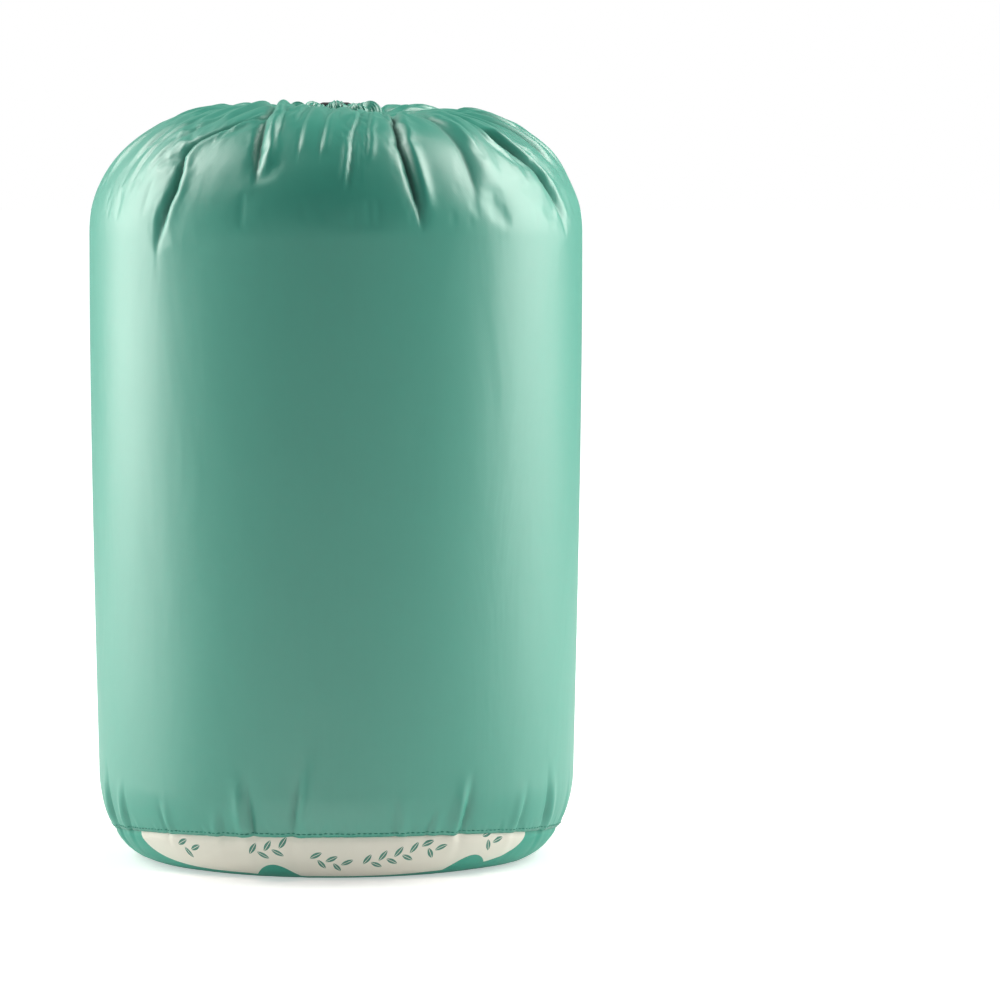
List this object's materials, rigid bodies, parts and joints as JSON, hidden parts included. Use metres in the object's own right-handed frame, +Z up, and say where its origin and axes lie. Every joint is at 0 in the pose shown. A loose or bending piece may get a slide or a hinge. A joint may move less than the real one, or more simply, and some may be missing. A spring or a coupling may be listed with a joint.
{
  "type": "packed camp blanket",
  "caption": "Rolled quilted camp blanket packed in a round drawcord stuff sack with a sewn printed base, a gathered mouth and a sprung lock on its cord.",
  "frame": {"origin": "on the ground under the middle of the sack", "axes": "+Z up along the sack to its mouth, -Y to the front of the object, +Y to the back, where the drawcord leaves the mouth and hangs"},
  "size_m": [0.25, 0.2573, 0.3827],
  "materials": {
    "green_taffeta": "shiny plain-weave nylon taffeta",
    "printed_base_cloth": "satin polyester, cream with a green print",
    "seam_tape": "matt woven binding tape",
    "green_thread": "polyester sewing thread",
    "black_cord": "round braided polyester cord",
    "black_plastic": "moulded acetal, fine satin",
    "spring_steel": "bright wire",
    "quilt_shell_cloth": "soft calendered taffeta",
    "quilt_lining_cloth": "soft calendered taffeta",
    "quilt_fill": "lofty polyester batting",
    "quilt_binding_tape": "woven binding tape"
  },
  "bodies": {
    "packed_sack": {"sack_wall": "green_taffeta", "bottom_panel": "printed_base_cloth", "bottom_seam_tape": "seam_tape", "bottom_seam_thread": "green_thread", "side_seam_tape": "seam_tape", "mouth_hem": "green_taffeta", "hem_thread": "green_thread", "drawcord_loop": "black_cord", "drawcord_tail_left": "black_cord", "drawcord_tail_right": "black_cord", "drawcord_end_knot": "black_cord", "blanket_shell": "quilt_shell_cloth", "blanket_fill": "quilt_fill", "blanket_lining": "quilt_lining_cloth", "blanket_edge_binding": "quilt_binding_tape"},
    "cord_lock": {"cord_lock_barrel": "black_plastic", "cord_lock_spring": "spring_steel"},
    "lock_plunger": {"cord_lock_plunger": "black_plastic"}
  },
  "joints": [
    {"name": "cord_lock_slide", "type": "slide", "parent": "packed_sack", "child": "cord_lock", "axis": [0, 0.9969, 0.0785], "range_m": [0, 0.02]},
    {"name": "plunger_press", "type": "slide", "parent": "cord_lock", "child": "lock_plunger", "axis": [-1, 0, 0], "range_m": [0, 0.0025], "stiffness_N_per_m": 900, "springref_m": -0.0015, "deforming": ["cord_lock_spring"]}
  ]
}
